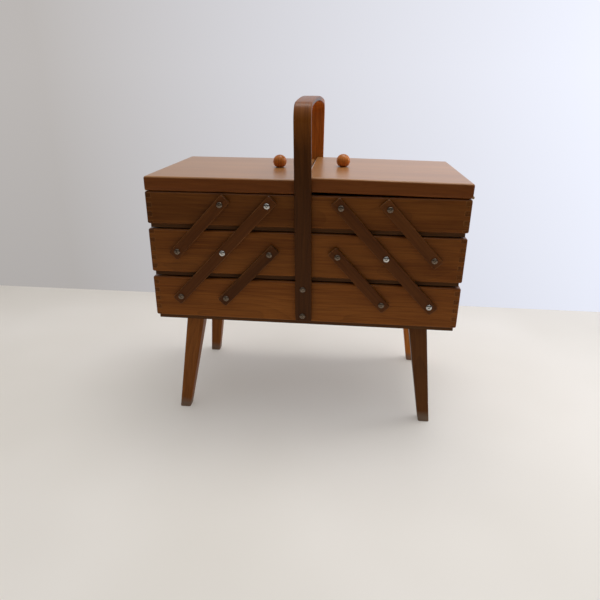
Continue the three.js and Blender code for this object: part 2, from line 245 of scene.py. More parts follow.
def plywood(name):
    """Thin plywood, kept dark partly as painted shade for the seams between the trays. It goes on
    CAD nodes, so it reads their own coordinates.
    """
    s = new_shader(name)
    place = s.node("TexCoord").outputs["Object"]
    fibre = s.noise(place, (14, 420, 420), 4, 0.6)
    broad = s.noise(place, (3, 26, 26), 2, 0.5)
    blotch = s.noise(place, (35, 35, 35), 2, 0.5)
    height = s.node("SeparateXYZ", {0: place}).outputs[2]
    plies = s.math("FRACT", s.math("MULTIPLY", height, 1 / (2.7 * MM)))
    side = s.node("SeparateXYZ", {0: s.node("NewGeometry").outputs["True Normal"]}).outputs[2]
    on_edge = s.math("LESS_THAN", s.math("ABSOLUTE", side), 0.5)
    banded = s.math("MULTIPLY", on_edge, s.math("GREATER_THAN", plies, 0.5))
    blend = s.math("MULTIPLY_ADD", fibre, 0.5, s.math("MULTIPLY", broad, 0.5))
    # dark brown: partly the panel's own colour, partly painted shade for the seams where its edges
    # show
    colour = s.mix(s.remap(blend, 0.36, 0.64), (0.07, 0.024, 0.005, 1), (0.14, 0.054, 0.014, 1))
    colour = s.mix(s.math("MULTIPLY", banded, 0.55), colour, (0.05, 0.024, 0.011, 1))
    roughness = s.remap(blotch, 0.35, 0.65, 0.48, 0.66)
    bump = s.node("Bump", {"Strength": 0.3, "Distance": 0.15 * MM, "Height": fibre})
    return s.surface(Base_Color=colour, Roughness=roughness, Normal=bump.outputs[0],
                     Specular_IOR_Level=0.1)


def metal(name, clean, stained, rough, stain=0.5):
    """Plated metal with fine scratches and patches of tarnish."""
    s = new_shader(name)
    place = s.node("TexCoord").outputs["Object"]
    patch = s.noise(place, (700, 700, 700), 3, 0.6)
    scratch = s.noise(place, (400, 9000, 2500), 2, 0.5)
    amount = s.remap(patch, 0.7 - 0.4 * stain, 0.9 - 0.4 * stain)
    grimy = s.math("MAXIMUM", amount, s.math("MULTIPLY", s.edge_mask(0.3 * MM), 0.4))
    colour = s.mix(grimy, clean, stained)
    roughness = s.remap(s.math("MULTIPLY_ADD", amount, 0.3, scratch), 0.3, 0.9, *rough)
    bump = s.node("Bump", {"Strength": 0.2, "Distance": 0.03 * MM, "Height": scratch})
    return s.surface(Base_Color=colour, Roughness=roughness, Metallic=1.0,
                     Normal=bump.outputs[0])


LOOKS = {
    "board": wood("beech_boards", (0.3, 0.099, 0.0165, 1), (0.165, 0.045, 0.0055, 1),
                  (0.42, 0.18, 0.05, 1), rings=0.36),
    # the lids: a light colour for the lit top, with sides darkening the upright faces as painted
    # shade
    "lid": wood("beech_lids", (0.42, 0.19, 0.055, 1), (0.3, 0.122, 0.03, 1),
                (0.42, 0.22, 0.08, 1), rings=0.3, rough=(0.4, 0.52), coat=(0.04, 0.8),
                sides=(0.5, 0.33, 0.24, 1)),
    # the links: strongly lightened edges, mostly painted highlight along their lit upper edges,
    # partly wear
    "link": wood("beech_links", (0.145, 0.046, 0.009, 1), (0.08, 0.022, 0.0035, 1),
                 (0.5, 0.23, 0.08, 1), rings=0.3, coat=(0.04, 0.9),
                 edge_wear_and_highlight=(0.3, 0.9)),
    # the handle's plain colour is dark as painted shade; the tone attribute lifts its top and back
    # as painted light
    "handle": wood("bent_handle", (0.088, 0.028, 0.0048, 1), (0.05, 0.014, 0.0021, 1),
                   (0.34, 0.15, 0.045, 1), rings=0.35, rough=(0.26, 0.4), coat=(0.06, 0.16)),
    "leg": wood("beech_legs", (0.32, 0.108, 0.02, 1), (0.19, 0.056, 0.009, 1),
                (0.45, 0.21, 0.07, 1), rings=0.4, foot_wear=True),
    "knob": wood("turned_knobs", (0.75, 0.25, 0.045, 1), (0.5, 0.14, 0.02, 1),
                 (0.6, 0.28, 0.08, 1), rings=0.5, rough=(0.14, 0.22), coat=(0.4, 0.3)),
    "panel": plywood("plywood_floors"),
    "dull": metal("tarnished_screws", (0.24, 0.18, 0.13, 1), (0.05, 0.035, 0.025, 1),
                  (0.22, 0.42), 0.6),
    "bright": metal("bright_screws", (0.56, 0.54, 0.5, 1), (0.25, 0.21, 0.17, 1),
                    (0.14, 0.35), 0.35),
    "steel": metal("steel_washers", (0.36, 0.34, 0.31, 1), (0.14, 0.11, 0.085, 1),
                   (0.3, 0.5), 0.5),
    "brass": metal("brass_hinges", (0.58, 0.4, 0.17, 1), (0.24, 0.15, 0.065, 1),
                   (0.24, 0.45), 0.45),
}


# ---------------------------------------------------------------- mesh helpers
def cells(xs, ys, zs, is_solid, shape=None):
    """The closed skin of the grid cells whose middles are solid; shape moves each corner."""
    bm = bmesh.new()
    corners = {}
    lines = (sorted(set(xs)), sorted(set(ys)), sorted(set(zs)))

    def corner(index):
        if index not in corners:
            point = Vector([lines[axis][index[axis]] for axis in range(3)])
            corners[index] = bm.verts.new(shape(point) if shape else point)
        return corners[index]

    def middle(index):
        return Vector([(lines[a][index[a]] + lines[a][index[a] + 1]) / 2 for a in range(3)])

    sizes = [len(line) - 1 for line in lines]
    filled = {(i, j, k) for i in range(sizes[0]) for j in range(sizes[1])
              for k in range(sizes[2]) if is_solid(middle((i, j, k)))}
    for cell in sorted(filled):
        for axis in range(3):
            for step in (0, 1):
                beside = list(cell)
                beside[axis] += 2 * step - 1
                if tuple(beside) in filled:
                    continue
                u, v = [a for a in range(3) if a != axis]
                loop = []
                for du, dv in ((0, 0), (1, 0), (1, 1), (0, 1)):
                    index = list(cell)
                    index[axis] += step
                    index[u] += du
                    index[v] += dv
                    loop.append(corner(tuple(index)))
                bm.faces.new(loop)
    bmesh.ops.recalc_face_normals(bm, faces=bm.faces)
    return bm


def rounding(low, high, radius):
    """A shape for cells(): the box's edges and corners become round."""
    def shape(point):
        inner = Vector([min(max(p, a + radius), b - radius) for p, a, b in zip(point, low, high)])
        out = point - inner
        reach = max(abs(c) for c in out)
        return inner + out * (reach / out.length) if reach > 1e-9 else point
    return shape


def edge_lines(at, inward, radius):
    """Grid lines that give a rounded edge even steps, from the face at `at` inwards."""
    return [at + inward * radius * (1 - math.tan(math.radians(a))) for a in (0, 15, 30, 45)]


def loft(rings):
    """A closed skin through rings of points; a ring of one point closes to a tip."""
    bm = bmesh.new()
    rows = [[bm.verts.new(point) for point in ring] for ring in rings]
    for first, second in zip(rows, rows[1:]):
        count = max(len(first), len(second))
        for i in range(count):
            j = (i + 1) % count
            if len(first) == 1:
                bm.faces.new((first[0], second[j], second[i]))
            elif len(second) == 1:
                bm.faces.new((first[i], first[j], second[0]))
            else:
                bm.faces.new((first[i], first[j], second[j], second[i]))
    for row in (rows[0], rows[-1]):
        if len(row) > 2:
            bm.faces.new(row)
    bmesh.ops.recalc_face_normals(bm, faces=bm.faces)
    return bm


def lathe(profile, sides):
    """A turned solid about Z through (radius, height) points."""
    rings = []
    for radius, height in profile:
        if radius < 1e-9:
            rings.append([Vector((0, 0, height))])
        else:
            turns = [2 * math.pi * i / sides for i in range(sides)]
            rings.append([Vector((radius * math.cos(t), radius * math.sin(t), height))
                          for t in turns])
    return loft(rings)


def ring_solid(inner, outer, low, high, ease):
    """A flat ring about Z, such as a washer, with eased outer edges."""
    sides = 32
    profile = [(inner, low), (outer - ease, low), (outer, low + ease), (outer, high - ease),
               (outer - ease, high), (inner, high)]
    bm = bmesh.new()
    rows = [[bm.verts.new((r * math.cos(2 * math.pi * i / sides),
                           r * math.sin(2 * math.pi * i / sides), h)) for i in range(sides)]
            for r, h in profile]
    for first, second in zip(rows, rows[1:] + rows[:1]):
        for i in range(sides):
            j = (i + 1) % sides
            bm.faces.new((first[i], first[j], second[j], second[i]))
    bmesh.ops.recalc_face_normals(bm, faces=bm.faces)
    return bm


def rounded_rectangle(half_u, half_v, radius):
    """Points (u, v) round a rectangle with round corners."""
    steps = 4
    points = []
    for quarter, (su, sv) in enumerate(((1, 1), (-1, 1), (-1, -1), (1, -1))):
        for i in range(steps + 1):
            angle = (quarter + i / steps) * math.pi / 2
            points.append((su * (half_u - radius) + radius * math.cos(angle),
                           sv * (half_v - radius) + radius * math.sin(angle)))
    return points


def to_object(name, bm):
    mesh = bpy.data.meshes.new(name)
    bm.to_mesh(mesh)
    bm.free()
    piece = bpy.data.objects.new(name, mesh)
    bpy.context.scene.collection.objects.link(piece)
    return piece


def cut(piece, tools, operation="DIFFERENCE"):
    """Cuts the tool solids out of a piece, or joins them to it, and removes them."""
    for tool in tools:
        step = piece.modifiers.new("cut", "BOOLEAN")
        step.object = tool
        step.operation = operation
        step.solver = "EXACT"
    depsgraph = bpy.context.evaluated_depsgraph_get()
    result = bpy.data.meshes.new_from_object(piece.evaluated_get(depsgraph))
    piece.modifiers.clear()
    old = piece.data
    piece.data = result
    result.name = old.name
    bpy.data.meshes.remove(old)
    for tool in tools:
        bpy.data.objects.remove(tool)
    return piece


def finish_piece(piece, look, body, nodes=(), sharp=32):
    """Material, smooth shading, body and the CAD nodes that the piece stands for."""
    piece.data.materials.clear()
    piece.data.materials.append(LOOKS[look])
    piece.data.shade_smooth()
    piece.data.set_sharp_from_angle(angle=math.radians(sharp))
    even = piece.modifiers.new("even_shading", "WEIGHTED_NORMAL")
    even.keep_sharp = True
    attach(piece, body)
    if nodes:
        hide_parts(*nodes)
    return piece


def set_grain(piece, place_of, along_at, tone, seed):
    """Writes what the wood looks read: grain coordinates, end grain, tone and seed. The tone holds
    random differences, and on some pieces painted light and shade.
    """
    mesh = piece.data
    grain = mesh.attributes.new("grain", "FLOAT_VECTOR", "POINT")
    for vertex in mesh.vertices:
        grain.data[vertex.index].vector = place_of(vertex.co)
    end = mesh.attributes.new("end_grain", "FLOAT", "FACE")
    for face in mesh.polygons:
        square = abs(face.normal.dot(along_at(face.center)))
        end.data[face.index].value = share((square - 0.6) / 0.3)
    for name, value in (("tone", tone), ("seed", seed)):
        mesh.attributes.new(name, "FLOAT", "POINT").data.foreach_set(
            "value", [value] * len(mesh.vertices))


draw = random.Random(11)


def straight_grain(piece, along, face, tone=1.0):
    """Straight grain along one direction, with the board's face the other way."""
    along = along.normalized()
    face = (face - along * face.dot(along)).normalized()
    across = face.cross(along)
    corners = [Vector(c) for c in piece.bound_box]
    centre = sum(corners, Vector()) / 8

    def place_of(point):
        off = point - centre
        return Vector((off.dot(along), off.dot(across), off.dot(face)))

    seed = draw.uniform(0, 40)
    set_grain(piece, place_of, lambda point: along, tone * draw.uniform(0.95, 1.05), seed)


# ---------------------------------------------------------------- trays
# how light each tray's wood is, as painted shade: the upper trays darker, and the left ones more,
# where less light falls on them
TRAY_LIGHT_AND_SHADE = {"bottom": 1.08, "middle_left": 0.85, "middle_right": 0.93, "top_left": 0.62,
         "top_right": 0.84}


def finger_bands(low, high, first):
    """Heights of the fingers that belong to a tray's end boards."""
    bands = []
    middle = high - first
    while middle > low - FINGER / 2:
        bands.append((middle - FINGER / 2, middle + FINGER / 2))
        middle -= 2 * FINGER
    return bands


def within(value, bands, margin=0.0):
    return any(low - margin < value < high + margin for low, high in bands)


def ease_edges(bm, on_edge):
    """A small bevel on the edges whose two ends both satisfy on_edge."""
    edges = [e for e in bm.edges if all(on_edge(v.co) for v in e.verts)]
    bmesh.ops.bevel(bm, geom=edges, offset=EASED_EDGE, segments=2, affect="EDGES",
                    profile=0.5, clamp_overlap=True)


def tray_boards(prefix, body, ends, tone):
    tier = prefix.split("_")[0]
    front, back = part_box(f"{prefix}_front_board"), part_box(f"{prefix}_back_board")
    low, high = front[0], Vector((front[1].x, back[1].y, front[1].z))
    if tier == "top":
        high.z += SEAM_LAP
    wall = front[1].y - front[0].y
    bands = finger_bands(low.z, high.z, FIRST_FINGER[tier])
    shape = rounding(low, high, SOFT_EDGE)
    depth = wall + GLUE
    z_ends = edge_lines(low.z, 1, SOFT_EDGE) + edge_lines(high.z, -1, SOFT_EDGE)

    def heights(margin):
        cuts = [z for a, b in bands for z in (a - margin, b + margin)]
        return z_ends + [z for z in cuts if low.z < z < high.z]

    for face_name, face in FACES.items():
        outer, inner = (low.y, low.y + wall) if face < 0 else (high.y, high.y - wall)
        xs = (edge_lines(low.x, 1, SOFT_EDGE) + edge_lines(high.x, -1, SOFT_EDGE)
              + [low.x + depth, high.x - depth])
        bm = cells(
            xs, edge_lines(outer, -face, SOFT_EDGE) + [inner], heights(GLUE),
            lambda p: not (within(p.z, bands, GLUE)
                           and (p.x < low.x + depth or p.x > high.x - depth)),
            shape)
        ease_edges(bm, lambda p: abs(p.y - inner) < 1e-6 and abs(p.z - high.z) < 1e-6
                   and low.x + wall < p.x < high.x - wall)
        node = f"{prefix}_{face_name}_board"
        piece = to_object(f"{node}_wood", bm)
        straight_grain(piece, X, Y * face, tone)
        finish_piece(piece, "board", body, [node])

    for end_name, way in zip(ends, (-1, 1)):
        outer, inner = (low.x, low.x + wall) if way < 0 else (high.x, high.x - wall)
        ys = (edge_lines(low.y, 1, SOFT_EDGE) + edge_lines(high.y, -1, SOFT_EDGE)
              + [low.y + depth, high.y - depth])
        bm = cells(
            edge_lines(outer, -way, SOFT_EDGE) + [inner], ys, heights(0.0),
            lambda p: within(p.z, bands) or low.y + depth < p.y < high.y - depth,
            shape)
        ease_edges(bm, lambda p: abs(p.x - inner) < 1e-6 and abs(p.z - high.z) < 1e-6
                   and low.y + wall < p.y < high.y - wall)
        node = f"{prefix}_{end_name}_board"
        piece = to_object(f"{node}_wood", bm)
        straight_grain(piece, Y, X * way, tone)
        finish_piece(piece, "board", body, [node])


def floor_panels():
    """The CAD floor panels stay, with eased edges and a plywood look."""
    for name, node in frame["nodes"].items():
        if name.endswith("_floor"):
            node.data.materials.clear()
            node.data.materials.append(LOOKS["panel"])
            eased = node.modifiers.new("eased", "BEVEL")
            eased.width = 0.3 * MM
            eased.segments = 2
            eased.limit_method = "ANGLE"
            eased.angle_limit = math.radians(60)


# ---------------------------------------------------------------- lids and knobs
def lid_swing(side_name):
    """The small turn about its hinge that the right lid rests at."""
    hinge = joint_place(f"{side_name}_lid_hinge")
    turn = RIGHT_LID_AJAR if side_name == "right" else 0.0
    return Matrix.Translation(hinge) @ Matrix.Rotation(turn, 4, "Y") @ Matrix.Translation(-hinge)


def lid_box(side_name):
    """The lid's box before that turn: the right lid mirrors the left one."""
    low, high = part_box("left_lid")
    low.z -= SEAM_LAP
    if side_name == "left":
        return low, high
    return Vector((-high.x, low.y, low.z)), Vector((-low.x, high.y, high.z))


def lid(side_name):
    low, high = lid_box(side_name)
    lines = [edge_lines(a, 1, LID_EDGE) + edge_lines(b, -1, LID_EDGE) for a, b in zip(low, high)]
    bm = cells(*lines, lambda p: True, rounding(low, high, LID_EDGE))
    bmesh.ops.transform(bm, matrix=lid_swing(side_name), verts=bm.verts)
    piece = to_object(f"{side_name}_lid_wood", bm)
    straight_grain(piece, X, Z)
    finish_piece(piece, "lid", f"{side_name}_lid", [f"{side_name}_lid"])


def knob(side_name):
    """A turned knob: an ellipsoid cut flat where it meets the lid, with a small bead there."""
    low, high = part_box("left_knob")
    centre = (low + high) / 2
    radius = (high.x - low.x) / 2
    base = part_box("left_lid")[1].z + 0.3 * MM
    height = high.z - base
    start = math.asin(KNOB_BASE / radius)
    tall = height / (1 + math.cos(start))
    middle = tall * math.cos(start)
    steps = 22
    profile = [(0.0, 0.0), (KNOB_BASE - 0.5 * MM, 0.0)]
    for i in range(steps):
        angle = (math.pi - start) * (1 - i / steps)
        profile.append((radius * math.sin(angle), middle + tall * math.cos(angle)))
    profile[2] = (KNOB_BASE, 0.35 * MM)
    profile.append((0.0, height))
    bm = lathe(profile, 48)
    way = SIDES[side_name]
    place = Matrix.Translation((abs(centre.x) * way, centre.y, base))
    bmesh.ops.transform(bm, matrix=lid_swing(side_name) @ place, verts=bm.verts)
    piece = to_object(f"{side_name}_knob_turned", bm)
    straight_grain(piece, Z, X)
    finish_piece(piece, "knob", f"{side_name}_lid", [f"{side_name}_knob"], sharp=50)


# ---------------------------------------------------------------- links
def side_pivots(side_name):
    """The pivots of one side's links, from the joints: kind to a list of (level, place)."""
    at = {key: joint_place(f"{side_name}_{key}") for key in
          ("stack_swing", "middle_tray_pivot", "top_tray_pivot", "lower_link_pivot",
           "upper_link_pivot")}
    lower_top = at["middle_tray_pivot"] + at["lower_link_pivot"] - at["stack_swing"]
    upper_top = at["top_tray_pivot"] + at["upper_link_pivot"] - at["middle_tray_pivot"]
    return {
        "long": [("bottom", at["stack_swing"]), ("middle", at["middle_tray_pivot"]),
                 ("top", at["top_tray_pivot"])],
        "lower": [("bottom", at["lower_link_pivot"]), ("middle", lower_top)],
        "upper": [("middle", at["upper_link_pivot"]), ("top", upper_top)],
    }


def link_outline(low, high, half, clip, inset):
    """The bar's outline with clipped corners, moved inwards by inset."""
    a, b, w = low + inset, high - inset, half - inset
    c = clip - inset * (2 - math.sqrt(2))
    return [(a + c, -w), (b - c, -w), (b, -w + c), (b, w - c), (b - c, w), (a + c, w),
            (a, w - c), (a, -w + c)]


def link(side_name, face_name, kind, pivots):
    node = f"{side_name}_{face_name}_{kind}_link"
    low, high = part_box(node)
    face = FACES[face_name]
    inner, outer = (high.y, low.y) if face < 0 else (low.y, high.y)
    first, last = pivots[0][1], pivots[-1][1]
    along = (last - first).normalized()
    across = Y.cross(along)
    reach = (last - first).length
    edge = LINK["edge"]

    levels = [(inner, 0.35 * MM), (inner + face * 0.35 * MM, 0.0)]
    for angle in (0, 22.5, 45, 67.5, 90):
        turn = math.radians(angle)
        levels.append((outer - face * edge * (1 - math.sin(turn)), edge * (1 - math.cos(turn))))
    rings = []
    for y, inset in levels:
        outline = link_outline(-LINK["low"], reach + LINK["high"], LINK["half"], LINK["clip"],
                               inset)
        rings.append([Vector((first.x, y, first.z)) + along * u + across * v
                      for u, v in outline])
    piece = to_object(f"{node}_wood", loft(rings))
    drills = []
    for _, pivot in pivots:
        drill = to_object("drill", lathe([(0.0, -0.02), (LINK["hole"], -0.02),
                                          (LINK["hole"], 0.02), (0.0, 0.02)], 28))
        drill.matrix_world = Matrix.Translation((pivot.x, (inner + outer) / 2, pivot.z)) \
            @ Matrix.Rotation(math.pi / 2, 4, "X")
        drills.append(drill)
    bpy.context.view_layer.update()
    cut(piece, drills)
    # painted shade: the left lower links are darker
    tone = 0.72 if (side_name, kind) == ("left", "lower") else 1.0
    straight_grain(piece, along, Y * face, tone)
    finish_piece(piece, "link", f"{side_name}_{kind}_links", [node])


# ---------------------------------------------------------------- screws and washers
def screw_mesh(name, head, dome, shank, length):
    """A pan-head screw about Z, its head's underside at 0, with a cross recess."""
    profile = [(0.0, -length), (shank * 0.35, -length + 0.5 * MM), (shank, -length + 2.5 * MM),
               (shank, -0.2 * MM), (shank + 0.2 * MM, 0.0), (head - 0.15 * MM, 0.0),
               (head, 0.15 * MM)]
    steps = 7
    for i in range(steps):
        angle = math.pi / 2 * i / steps
        profile.append((head * math.cos(angle) ** 0.7, 0.3 * dome + 0.7 * dome * math.sin(angle)))
    profile.append((0.0, dome))
    piece = to_object(name, lathe(profile, 36))
    wings = []
    for turn in (0, math.pi / 2):
        half, narrow, thick = head * 0.56, head * 0.2, head * 0.125
        rings = [[Vector((u, v, z)) for u, v in
                  ((-w, -thick), (w, -thick), (w, thick), (-w, thick))]
                 for w, z in ((narrow, dome * 0.12), (half, dome * 1.02), (half, dome * 1.5))]
        wing = to_object("wing", loft(rings))
        wing.matrix_world = Matrix.Rotation(turn, 4, "Z")
        wings.append(wing)
    bpy.context.view_layer.update()
    return cut(piece, wings)


def facing(place, way, turn):
    """A matrix that puts a screw drawn about Z at place, its head towards way * Y."""
    tilt = Matrix.Rotation(-math.pi / 2 * way, 4, "X")
    return Matrix.Translation(place) @ tilt @ Matrix.Rotation(turn, 4, "Z")


def place_copy(pattern, name, matrix, look, body, nodes=()):
    """A finished piece with its own copy of a pattern's mesh."""
    piece = bpy.data.objects.new(name, pattern.data.copy())
    bpy.context.scene.collection.objects.link(piece)
    piece.matrix_world = matrix
    return finish_piece(piece, look, body, nodes)


# the pivot screws that get the bright metal, the rest the tarnished one: side, face, kind of link
# and level
BRIGHT = {("left", "front", "long", "top"), ("left", "front", "long", "middle"),
          ("right", "front", "long", "middle"), ("right", "front", "long", "bottom")}


def pivot_screws():
    screw = screw_mesh("pivot_screw_pattern", 4.0 * MM, 2.0 * MM, 1.35 * MM, 12.2 * MM)
    washer = to_object("washer_pattern", ring_solid(1.6 * MM, 3.9 * MM, 0, 0.95 * MM, 0.15 * MM))
    for side_name in SIDES:
        bodies = {"bottom": "base", "middle": f"{side_name}_middle_tray",
                  "top": f"{side_name}_top_tray"}
        for kind, pivots in side_pivots(side_name).items():
            for face_name, face in FACES.items():
                low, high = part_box(f"{side_name}_{face_name}_{kind}_link")
                outer, inner = (low.y, high.y) if face < 0 else (high.y, low.y)
                for level, pivot in pivots:
                    key = f"{side_name}_{face_name}_{kind}_{level}"
                    bright = (side_name, face_name, kind, level) in BRIGHT
                    seat = Vector((pivot.x, outer + face * 0.05 * MM, pivot.z))
                    place_copy(screw, f"{key}_screw", facing(seat, face, draw.uniform(0, 1.5)),
                               "bright" if bright else "dull", bodies[level])
                    seat = Vector((pivot.x, inner - face * 0.975 * MM, pivot.z))
                    place_copy(washer, f"{key}_washer", facing(seat, face, 0.0), "steel",
                               bodies[level])
    bpy.data.objects.remove(screw)
    return washer


def handle_screws(washer):
    screw = screw_mesh("handle_screw_pattern", 3.9 * MM, 1.8 * MM, 1.3 * MM, 12.5 * MM)
    for face_name, face in FACES.items():
        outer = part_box("handle")[0 if face < 0 else 1].y
        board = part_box(f"bottom_{face_name}_board")[0 if face < 0 else 1].y
        for number in (1, 2):
            node = f"handle_screw_{face_name}_{number}"
            z = node_centre(node).z
            place_copy(screw, f"{node}_metal",
                       facing(Vector((0, outer + face * 0.05 * MM, z)), face,
                              draw.uniform(0, 1.5)), "dull", "base", [node])
            place_copy(washer, f"handle_{face_name}_washer_{number}",
                       facing(Vector((0, board + face * 0.025 * MM, z)), face, 0.0), "steel",
                       "base")
    bpy.data.objects.remove(screw)
    bpy.data.objects.remove(washer)


def leg_screws():
    """Countersunk screws through the bottom floor, down into the legs."""
    head, cone, shank, length = 3.6 * MM, 2.4 * MM, 1.7 * MM, 25 * MM
    profile = [(0.0, -length), (shank * 0.4, -length + 0.6 * MM), (shank, -length + 3 * MM),
               (shank, -cone), (head, -0.3 * MM), (head, -0.05 * MM), (head - 0.1 * MM, 0.0),
               (0.0, 0.0)]
    screw = to_object("leg_screw_pattern", lathe(profile, 36))
    wings = []
    for turn in (0, math.pi / 2):
        rings = [[Vector((u, v, z)) for u, v in
                  ((-w, -0.45 * MM), (w, -0.45 * MM), (w, 0.45 * MM), (-w, 0.45 * MM))]
                 for w, z in ((0.7 * MM, -1.6 * MM), (2.0 * MM, 0.01 * MM), (2.0 * MM, 1 * MM))]
        wing = to_object("wing", loft(rings))
        wing.matrix_world = Matrix.Rotation(turn, 4, "Z")
        wings.append(wing)
    bpy.context.view_layer.update()
    cut(screw, wings)
    for face_name in FACES:
        for side_name in SIDES:
            node = f"leg_screw_{face_name}_{side_name}"
            low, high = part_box(node)
            centre = (low + high) / 2
            matrix = Matrix.Translation((centre.x, centre.y, high.z)) \
                @ Matrix.Rotation(draw.uniform(0, 1.5), 4, "Z")
            place_copy(screw, f"{node}_metal", matrix, "steel", "base", [node])
    bpy.data.objects.remove(screw)


# ---------------------------------------------------------------- handle
def handle_path():
    """The strip's centreline in Y and Z: a list of (point, outward direction, distance)."""
    low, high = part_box("handle")
    thick = handle_thickness()
    outer_y, foot, crown = high.y, low.z, high.z
    centre_z = crown - HANDLE["crown"]
    corner_y = outer_y - HANDLE["corner"]
    corner_z = centre_z + math.sqrt((HANDLE["crown"] - HANDLE["corner"]) ** 2 - corner_y ** 2)
    turn = math.atan2(corner_z - centre_z, corner_y)
    mid = thick / 2
    stations = []

    def station(y, z, angle):
        stations.append((Vector((0, y, z)), Vector((0, math.cos(angle), math.sin(angle)))))

    for step in range(9):
        station(outer_y - mid, foot + (corner_z - foot) * step / 8, 0.0)
    for step in range(1, 13):
        angle = turn * step / 12
        reach = HANDLE["corner"] - mid
        station(corner_y + reach * math.cos(angle), corner_z + reach * math.sin(angle), angle)
    for step in range(1, 25):
        angle = turn + (math.pi - 2 * turn) * step / 24
        reach = HANDLE["crown"] - mid
        station(reach * math.cos(angle), centre_z + reach * math.sin(angle), angle)
    for step in range(1, 13):
        angle = math.pi - turn + turn * step / 12
        reach = HANDLE["corner"] - mid
        station(-corner_y + reach * math.cos(angle), corner_z + reach * math.sin(angle), angle)
    for step in range(1, 9):
        station(-outer_y + mid, corner_z + (foot - corner_z) * step / 8, math.pi)

    path, distance = [], 0.0
    for index, (point, out) in enumerate(stations):
        if index:
            distance += (point - stations[index - 1][0]).length
        path.append((point, out, distance))
    return path


def handle_thickness():
    """Handle face to board face, less the washer between them."""
    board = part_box("bottom_front_board")[0].y
    link_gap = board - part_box("left_front_long_link")[1].y
    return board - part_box("handle")[0].y - link_gap


def handle_lean(point):
    """The strip's sideways twist: nothing at its upright height, more above it and below."""
    board_front, board_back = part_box("bottom_front_board")[0].y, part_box("bottom_back_board")[1].y
    to_back = share((point.y - board_front) / (board_back - board_front))
    lean = HANDLE["lean"]["front"] * (1 - to_back) + HANDLE["lean"]["back"] * to_back
    return lean * (point.z - HANDLE["upright"])


def handle():
    half_x = HANDLE["width"] / 2
    half_t = handle_thickness() / 2
    path = handle_path()
    total = path[-1][2]
    rings = []
    for point, out, _ in path:
        rings.append([point + X * u + out * v
                      for u, v in rounded_rectangle(half_x, half_t, HANDLE["edge"])])
    for end in (0, -1):
        point, out, _ = path[end]
        caps = []
        for angle in (90, 60, 30, 0):
            inset = HANDLE["end_ease"] * (1 - math.cos(math.radians(angle)))
            rise = HANDLE["end_ease"] * (1 - math.sin(math.radians(angle)))
            caps.append([point + Z * rise + X * u + out * v for u, v in rounded_rectangle(
                half_x - inset, half_t - inset, HANDLE["edge"] - inset)])
        if end == 0:
            rings = caps + rings[1:]
        else:
            rings = rings[:-1] + caps[::-1]
    rings = [[point + X * handle_lean(point) for point in ring] for ring in rings]
    piece = to_object("handle_strip", loft(rings))

    def nearest(point):
        flat = Vector((0, point.y, point.z))
        return min(range(len(path)), key=lambda i: (path[i][0] - flat).length_squared)

    def place_of(point):
        index = nearest(point)
        centre, out, distance = path[index]
        along = X.cross(out)
        off = Vector((0, point.y, point.z)) - centre
        return Vector((distance - total / 2 + off.dot(along), point.x, off.dot(out)))

    def painted_light_at(point):
        """How much painted light a point of the strip gets over the plain tone."""
        centre, out, distance = path[nearest(point)]
        inner = (Vector((0, point.y, point.z)) - centre).dot(out) < 0
        to_back = share((0.5 - distance / total) / HANDLE_PAINTED_LIGHT["back_share"])
        to_top = share((point.z - HANDLE_PAINTED_LIGHT["lit_from"]) / HANDLE_PAINTED_LIGHT["lit_over"])
        if inner:
            return HANDLE_PAINTED_LIGHT["back_inside"] * to_back
        return HANDLE_PAINTED_LIGHT["top"] * to_top + HANDLE_PAINTED_LIGHT["back"] * to_back

    plain = 1.0
    set_grain(piece, place_of, lambda point: X.cross(path[nearest(point)][1]), plain,
              HANDLE_SEED)
    tone = piece.data.attributes["tone"]
    for vertex in piece.data.vertices:
        # painted light: the top and the back of the strip are made lighter
        tone.data[vertex.index].value = plain + painted_light_at(vertex.co)
    finish_piece(piece, "handle", "base", ["handle"])


# ---------------------------------------------------------------- legs
# painted light and shade in each leg's tone: the back right leg lighter and the front right one
# darker, as the light falls on them
LEG_LIGHT_AND_SHADE = {"leg_front_left": 1.0, "leg_front_right": 0.45, "leg_back_left": 1.1,
             "leg_back_right": 2.2}


def leg(face_name, side_name):
    node = f"leg_{face_name}_{side_name}"
    low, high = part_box(node)
    side, face = SIDES[side_name], FACES[face_name]
    screw = node_centre(f"leg_screw_{face_name}_{side_name}")
    top = Vector((screw.x, screw.y, high.z))
    foot_x = (low.x if side < 0 else high.x) - side * LEG_FOOT / 2
    foot_y = (low.y if face < 0 else high.y) - face * LEG_FOOT / 2
    foot = Vector((foot_x, foot_y, low.z))
    ease = 1.1 * MM
    stations = []
    for angle in (90, 60, 30, 0):
        turn = math.radians(angle)
        stations.append((ease * (1 - math.sin(turn)), ease * (1 - math.cos(turn))))
    rise = high.z - low.z
    stations += [(rise * step / 6, 0.0) for step in range(1, 7)]
    rings = []
    for up, inset in stations:
        along = up / rise
        centre = foot.lerp(top, along)
        half = (LEG_FOOT + (LEG_TOP - LEG_FOOT) * along) / 2 - inset
        rings.append([centre + X * u + Y * v
                      for u, v in rounded_rectangle(half, half, LEG_EDGE - inset)])
    piece = to_object(f"{node}_wood", loft(rings))
    straight_grain(piece, top - foot, Y * face, LEG_LIGHT_AND_SHADE[node])
    finish_piece(piece, "leg", "base", [node])


